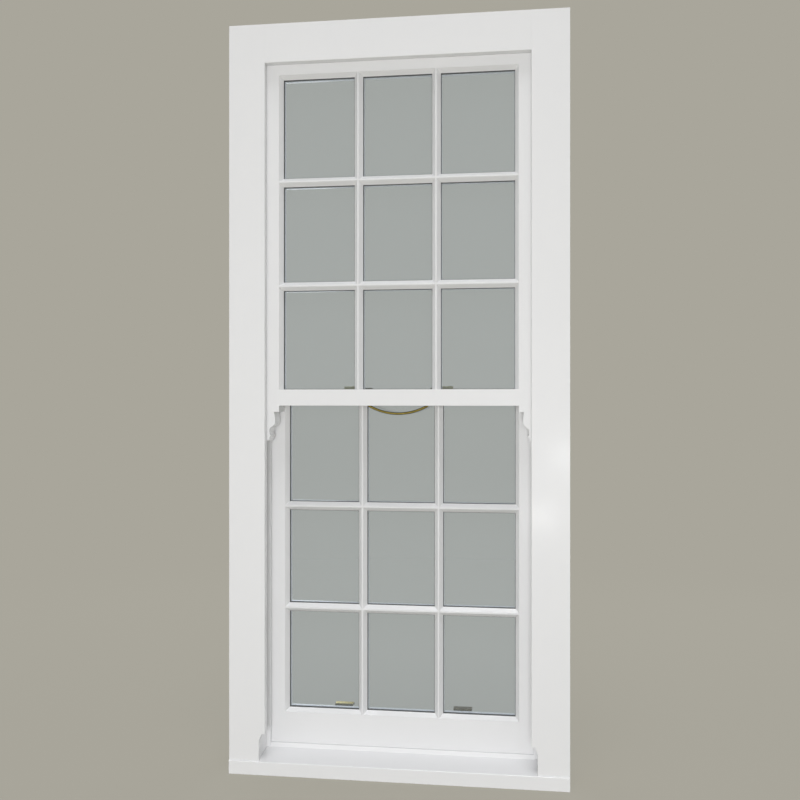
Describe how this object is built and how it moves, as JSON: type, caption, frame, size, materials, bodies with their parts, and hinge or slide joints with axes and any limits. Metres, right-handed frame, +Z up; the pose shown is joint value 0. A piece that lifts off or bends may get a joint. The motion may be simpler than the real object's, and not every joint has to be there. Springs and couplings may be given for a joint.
{
  "type": "sash window",
  "caption": "White timber box sash window with small double-glazed panes, sash horns, cords and weights in a box frame with a sloping sill, and brass handle, fasteners and lifts.",
  "frame": {"origin": "middle of the box frame's underside: X midway between the side linings, Y midway between the sill's nose and the lifts, Z at the sill's underside", "axes": "+X to the right seen from outside, +Y from outside to inside, +Z up"},
  "size_m": [0.9, 0.1738, 2],
  "materials": {
    "white_gloss_paint": "gloss",
    "bare_pine": "matte",
    "glass": "gloss",
    "black_spacer": "matte",
    "polished_brass": "polished",
    "cotton_cord": "matte",
    "cast_iron": "matte"
  },
  "bodies": {
    "frame": {"sill": "white_gloss_paint", "pulley_stile_left": "white_gloss_paint", "pulley_stile_right": "white_gloss_paint", "head": "white_gloss_paint", "outer_lining_left": "white_gloss_paint", "outer_lining_right": "white_gloss_paint", "outer_head_lining": "white_gloss_paint", "inner_lining_left": "white_gloss_paint", "inner_lining_right": "white_gloss_paint", "inner_head_lining": "white_gloss_paint", "back_linings": "bare_pine", "parting_slips": "bare_pine", "side_parting_beads": "white_gloss_paint", "head_parting_bead": "white_gloss_paint", "side_staff_beads": "white_gloss_paint", "head_staff_bead": "white_gloss_paint", "sill_staff_bead": "white_gloss_paint", "pocket_pieces": "white_gloss_paint", "pulley_cases": "polished_brass", "pulley_axles": "polished_brass", "frame_screws": "polished_brass", "upper_left_cord": "cotton_cord", "upper_right_cord": "cotton_cord", "lower_left_cord": "cotton_cord", "lower_right_cord": "cotton_cord"},
    "upper_sash": {"upper_stile_left": "white_gloss_paint", "upper_stile_right": "white_gloss_paint", "upper_top_rail": "white_gloss_paint", "upper_meeting_rail": "white_gloss_paint", "upper_vertical_bars": "white_gloss_paint", "upper_horizontal_bars": "white_gloss_paint", "upper_glass": "glass", "upper_spacers": "black_spacer", "upper_glazing_fillets": "white_gloss_paint", "bow_handle": "polished_brass", "fastener_keeps": "polished_brass", "upper_brass_screws": "polished_brass"},
    "lower_sash": {"lower_stile_left": "white_gloss_paint", "lower_stile_right": "white_gloss_paint", "lower_meeting_rail": "white_gloss_paint", "lower_bottom_rail": "white_gloss_paint", "lower_vertical_bars": "white_gloss_paint", "lower_horizontal_bars": "white_gloss_paint", "lower_glass": "glass", "lower_spacers": "black_spacer", "lower_glazing_fillets": "white_gloss_paint", "fastener_bases": "polished_brass", "sash_lifts": "polished_brass", "lower_brass_screws": "polished_brass"},
    "upper_left_weight": {"upper_left_weight": "cast_iron"},
    "upper_left_wheel": {"upper_left_wheel": "polished_brass"},
    "upper_right_weight": {"upper_right_weight": "cast_iron"},
    "upper_right_wheel": {"upper_right_wheel": "polished_brass"},
    "lower_left_weight": {"lower_left_weight": "cast_iron"},
    "lower_left_wheel": {"lower_left_wheel": "polished_brass"},
    "lower_right_weight": {"lower_right_weight": "cast_iron"},
    "lower_right_wheel": {"lower_right_wheel": "polished_brass"},
    "fastener_arm_left": {"fastener_arm_left": "polished_brass"},
    "fastener_arm_right": {"fastener_arm_right": "polished_brass"}
  },
  "joints": [
    {"name": "upper_sash_slide", "type": "slide", "parent": "frame", "child": "upper_sash", "axis": [0, 0, -1], "range_m": [0, 0.8], "deforming": ["upper_left_cord", "upper_right_cord"]},
    {"name": "lower_sash_slide", "type": "slide", "parent": "frame", "child": "lower_sash", "axis": [0, 0, 1], "range_m": [0, 0.8], "deforming": ["lower_left_cord", "lower_right_cord"]},
    {"name": "upper_left_weight_slide", "type": "slide", "parent": "frame", "child": "upper_left_weight", "axis": [0, 0, 1], "range_m": [0, 0.801]},
    {"name": "upper_left_wheel_spin", "type": "hinge", "parent": "frame", "child": "upper_left_wheel", "pos_m": [-0.389, -0.03195, 1.84], "axis": [0, 1, 0], "range_deg": [0, 1834]},
    {"name": "upper_right_weight_slide", "type": "slide", "parent": "frame", "child": "upper_right_weight", "axis": [0, 0, 1], "range_m": [0, 0.801]},
    {"name": "upper_right_wheel_spin", "type": "hinge", "parent": "frame", "child": "upper_right_wheel", "pos_m": [0.389, -0.03195, 1.84], "axis": [0, -1, 0], "range_deg": [0, 1834]},
    {"name": "lower_left_weight_slide", "type": "slide", "parent": "frame", "child": "lower_left_weight", "axis": [0, 0, -1], "range_m": [0, 0.801]},
    {"name": "lower_left_wheel_spin", "type": "hinge", "parent": "frame", "child": "lower_left_wheel", "pos_m": [-0.389, 0.03385, 1.84], "axis": [0, -1, 0], "range_deg": [0, 1834]},
    {"name": "lower_right_weight_slide", "type": "slide", "parent": "frame", "child": "lower_right_weight", "axis": [0, 0, -1], "range_m": [0, 0.801]},
    {"name": "lower_right_wheel_spin", "type": "hinge", "parent": "frame", "child": "lower_right_wheel", "pos_m": [0.389, 0.03385, 1.84], "axis": [0, 1, 0], "range_deg": [0, 1834]},
    {"name": "fastener_arm_left_turn", "type": "hinge", "parent": "lower_sash", "child": "fastener_arm_left", "pos_m": [-0.1325, 0.03515, 1.0293], "axis": [0, 0, -1], "range_deg": [0, 40]},
    {"name": "fastener_arm_right_turn", "type": "hinge", "parent": "lower_sash", "child": "fastener_arm_right", "pos_m": [0.1325, 0.03515, 1.0293], "axis": [0, 0, 1], "range_deg": [0, 40]}
  ],
  "couplings": [
    {"joint": "upper_left_weight_slide", "follows": "upper_sash_slide", "ratio": 1},
    {"joint": "upper_left_wheel_spin", "follows": "upper_sash_slide", "rad_per_m": 40},
    {"joint": "upper_right_weight_slide", "follows": "upper_sash_slide", "ratio": 1},
    {"joint": "upper_right_wheel_spin", "follows": "upper_sash_slide", "rad_per_m": 40},
    {"joint": "lower_left_weight_slide", "follows": "lower_sash_slide", "ratio": 1},
    {"joint": "lower_left_wheel_spin", "follows": "lower_sash_slide", "rad_per_m": 40},
    {"joint": "lower_right_weight_slide", "follows": "lower_sash_slide", "ratio": 1},
    {"joint": "lower_right_wheel_spin", "follows": "lower_sash_slide", "rad_per_m": 40}
  ]
}
